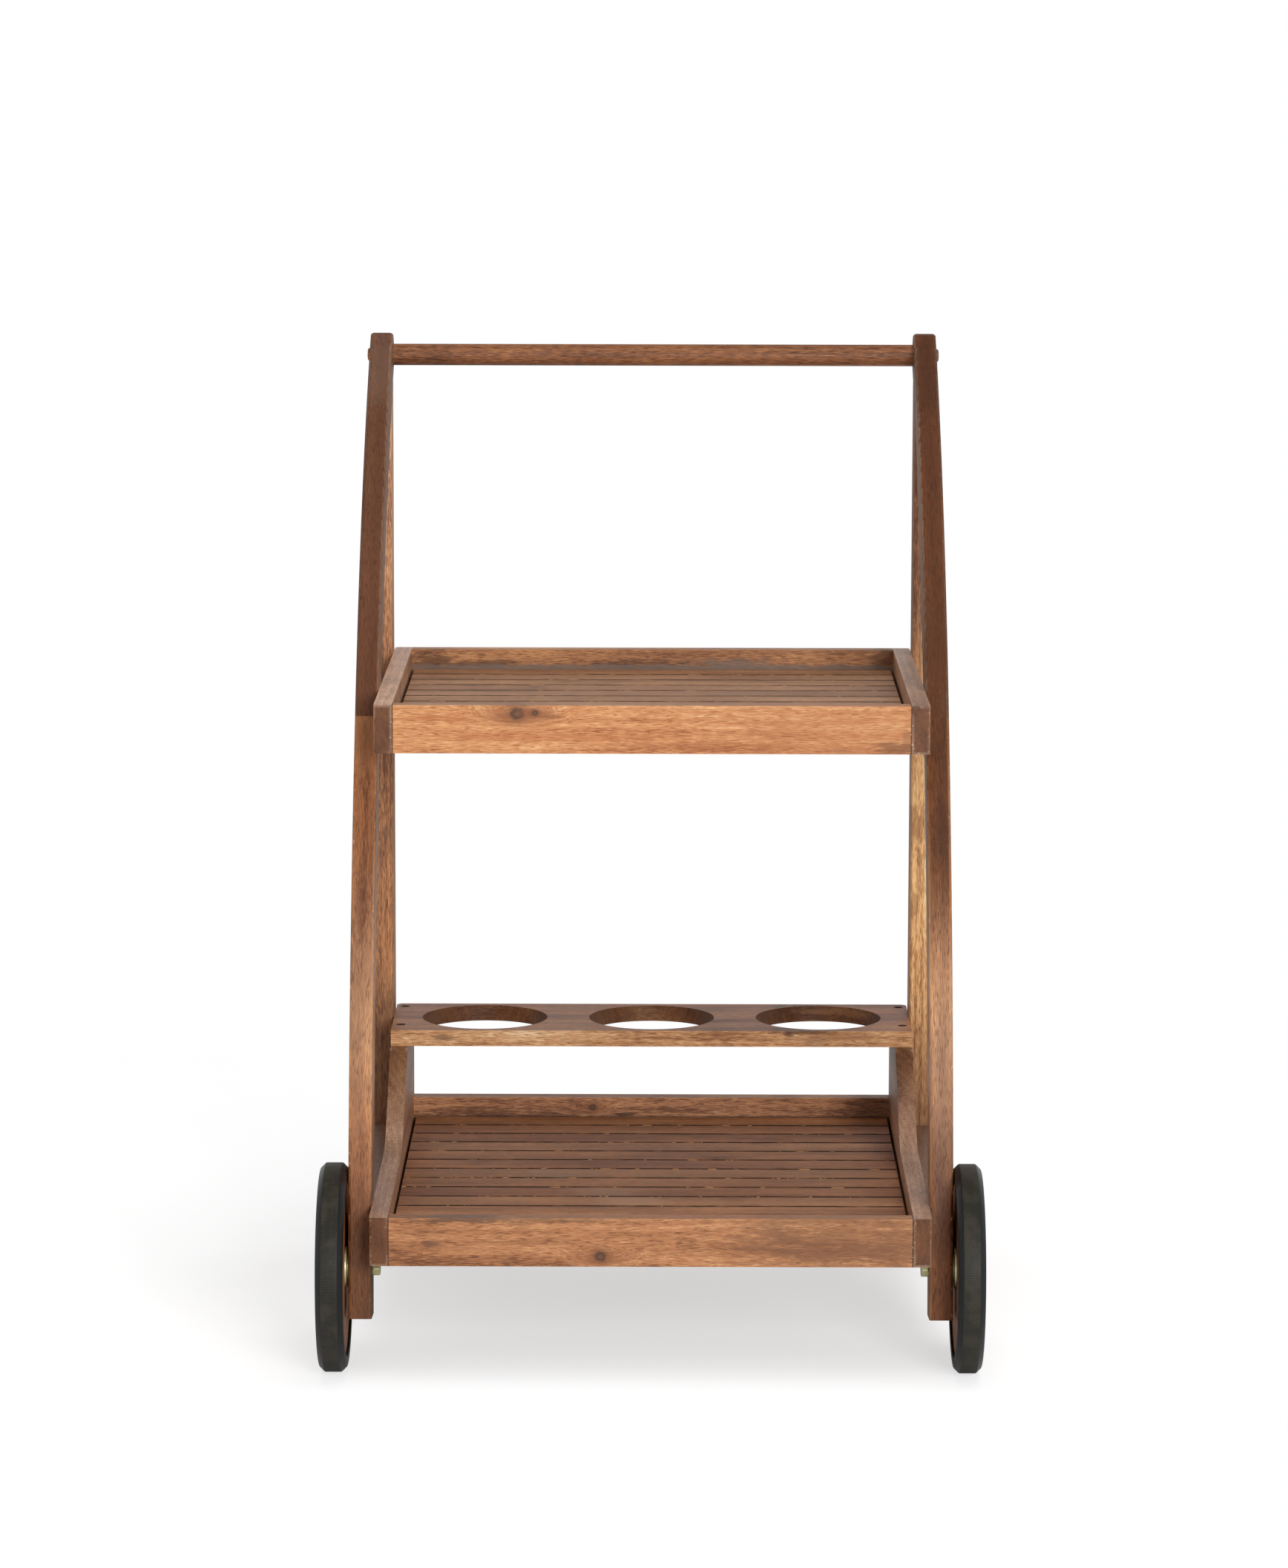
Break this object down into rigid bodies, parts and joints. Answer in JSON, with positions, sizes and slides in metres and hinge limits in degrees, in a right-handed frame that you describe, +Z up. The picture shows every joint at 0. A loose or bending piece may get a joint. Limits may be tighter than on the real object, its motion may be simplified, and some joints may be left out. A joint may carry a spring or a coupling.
{
  "type": "bar cart",
  "caption": "Wooden bar cart with two slatted trays between curved side frames, a bottle board with round holes, a round handle bar and two rubber-tyred wheels.",
  "frame": {"origin": "centre of the cart's footprint, on the floor", "axes": "+X to the right seen from the wheels' end, +Y from the wheels' end to the handle's end, +Z up"},
  "size_m": [0.566, 0.5478, 0.849],
  "materials": {
    "acacia_light": "oiled, satin",
    "acacia_warm": "oiled, satin",
    "acacia_grey": "oiled, satin, greyed",
    "acacia_dark": "oiled, satin",
    "beech": "raw",
    "tyre_rubber": "matte",
    "yellow_zinc": "yellow zinc plated",
    "plain_steel": "zinc plated",
    "copper_plate": "antique copper plated"
  },
  "bodies": {
    "cart_frame": {"left_front_leg_lower": "acacia_warm", "left_front_leg_upper": "acacia_dark", "left_rear_leg": "acacia_light", "left_stretcher": "acacia_grey", "right_front_leg_lower": "acacia_warm", "right_front_leg_upper": "acacia_dark", "right_rear_leg": "acacia_light", "right_stretcher": "acacia_grey", "handle_bar": "acacia_warm", "handle_bolts": "copper_plate", "frame_bolts": "plain_steel", "threaded_inserts": "yellow_zinc", "dowels": "beech", "lower_tray_left_rail": "acacia_grey", "lower_tray_right_rail": "acacia_grey", "lower_tray_front_rail": "acacia_light", "lower_tray_rear_rail": "acacia_grey", "lower_tray_battens": "acacia_grey", "lower_tray_slat_1": "acacia_grey", "lower_tray_slat_2": "acacia_grey", "lower_tray_slat_3": "acacia_grey", "lower_tray_slat_4": "acacia_grey", "lower_tray_slat_5": "acacia_grey", "lower_tray_slat_6": "acacia_grey", "lower_tray_slat_7": "acacia_grey", "lower_tray_slat_8": "acacia_grey", "lower_tray_slat_9": "acacia_grey", "lower_tray_slat_10": "acacia_grey", "lower_tray_slat_11": "acacia_grey", "lower_tray_slat_12": "acacia_grey", "lower_tray_slat_13": "acacia_grey", "upper_tray_left_rail": "acacia_grey", "upper_tray_right_rail": "acacia_grey", "upper_tray_front_rail": "acacia_light", "upper_tray_rear_rail": "acacia_grey", "upper_tray_battens": "acacia_grey", "upper_tray_slat_1": "acacia_grey", "upper_tray_slat_2": "acacia_grey", "upper_tray_slat_3": "acacia_grey", "upper_tray_slat_4": "acacia_grey", "upper_tray_slat_5": "acacia_grey", "upper_tray_slat_6": "acacia_grey", "upper_tray_slat_7": "acacia_grey", "upper_tray_slat_8": "acacia_grey", "upper_tray_slat_9": "acacia_grey", "upper_tray_slat_10": "acacia_grey", "tray_screws": "plain_steel", "bottle_board": "acacia_light", "board_screws": "yellow_zinc", "axle_bolts": "yellow_zinc", "axle_nuts": "yellow_zinc", "axle_washers": "yellow_zinc"},
    "left_wheel": {"left_tyre": "tyre_rubber", "left_wheel_disc": "acacia_warm", "left_hub": "yellow_zinc"},
    "right_wheel": {"right_tyre": "tyre_rubber", "right_wheel_disc": "acacia_warm", "right_hub": "yellow_zinc"}
  },
  "joints": [
    {"name": "left_wheel_spin", "type": "hinge", "parent": "cart_frame", "child": "left_wheel", "pos_m": [-0.2675, -0.1856, 0.0883], "axis": [1, 0, 0], "continuous": true},
    {"name": "right_wheel_spin", "type": "hinge", "parent": "cart_frame", "child": "right_wheel", "pos_m": [0.2675, -0.1856, 0.0883], "axis": [1, 0, 0], "continuous": true}
  ]
}
